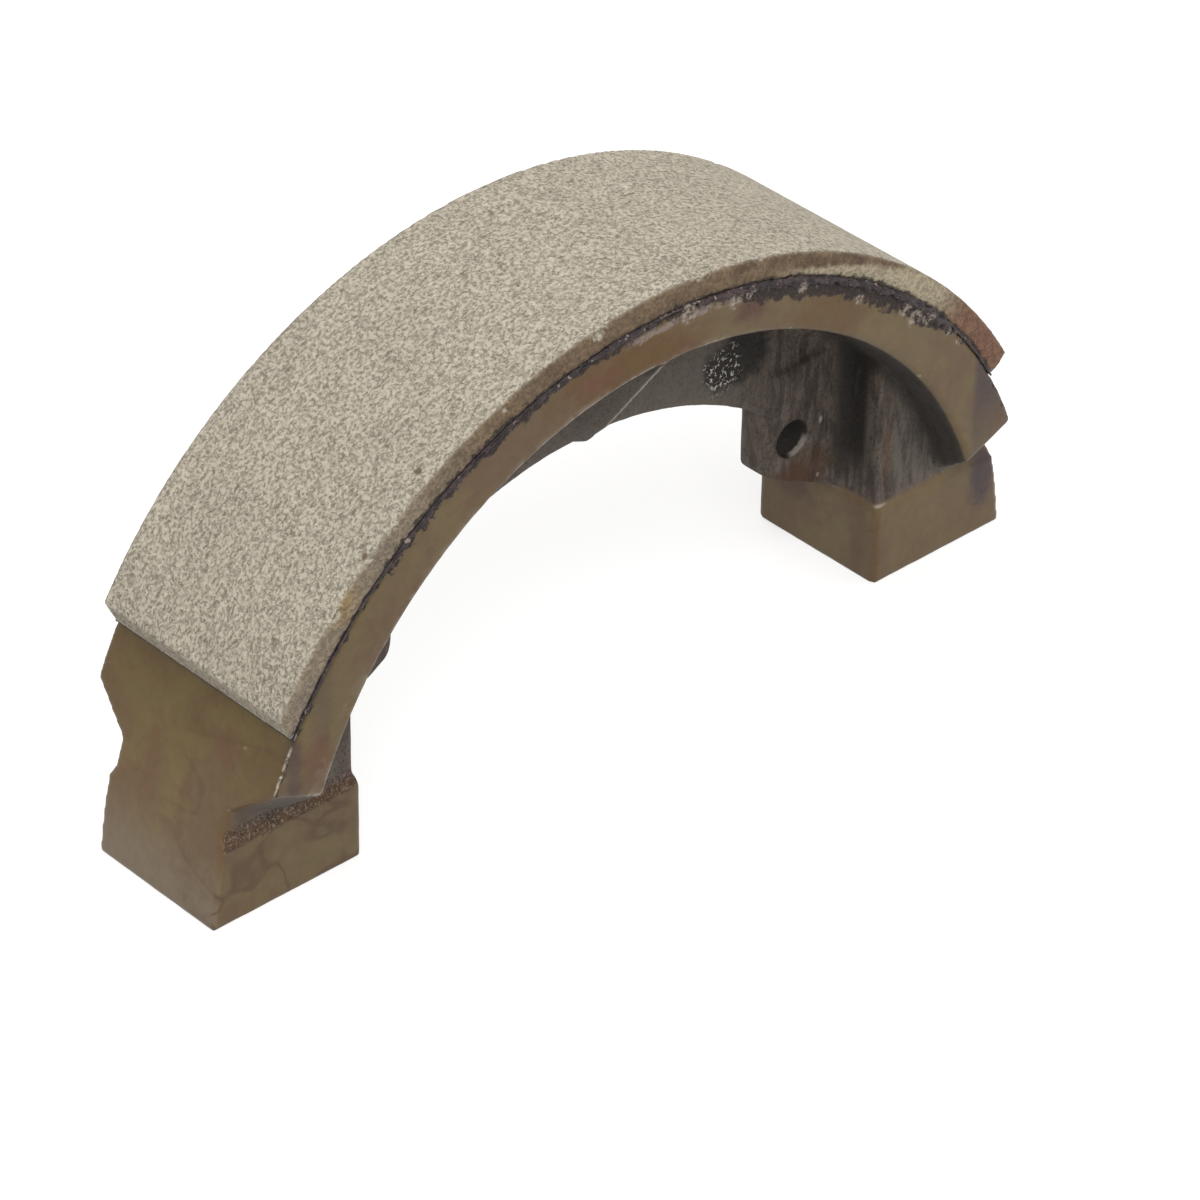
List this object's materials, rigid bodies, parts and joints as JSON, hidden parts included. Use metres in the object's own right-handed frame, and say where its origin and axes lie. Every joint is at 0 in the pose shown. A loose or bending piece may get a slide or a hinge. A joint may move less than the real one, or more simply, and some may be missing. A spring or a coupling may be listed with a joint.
{
  "type": "drum brake shoe",
  "caption": "Leading or trailing drum brake shoe: a die-cast T-section arch with flat-faced feet and a bonded friction lining.",
  "frame": {"origin": "middle of the shoe's footprint, on the plane of the two feet's flat faces", "axes": "+Z from the feet up through the crown of the lining, +X along the chord between the feet, Y along the drum's axis"},
  "size_m": [0.1038, 0.0254, 0.0503],
  "materials": {
    "casting": "olive-brown lacquer over die-cast aluminium, stained, worn at the edges",
    "lining": "matt pressed friction compound, speckled",
    "glue": "dark cured bonding adhesive, rough"
  },
  "bodies": {
    "root": {"shoe_casting": "casting", "friction_lining": "lining", "adhesive_film": "glue"}
  },
  "joints": []
}
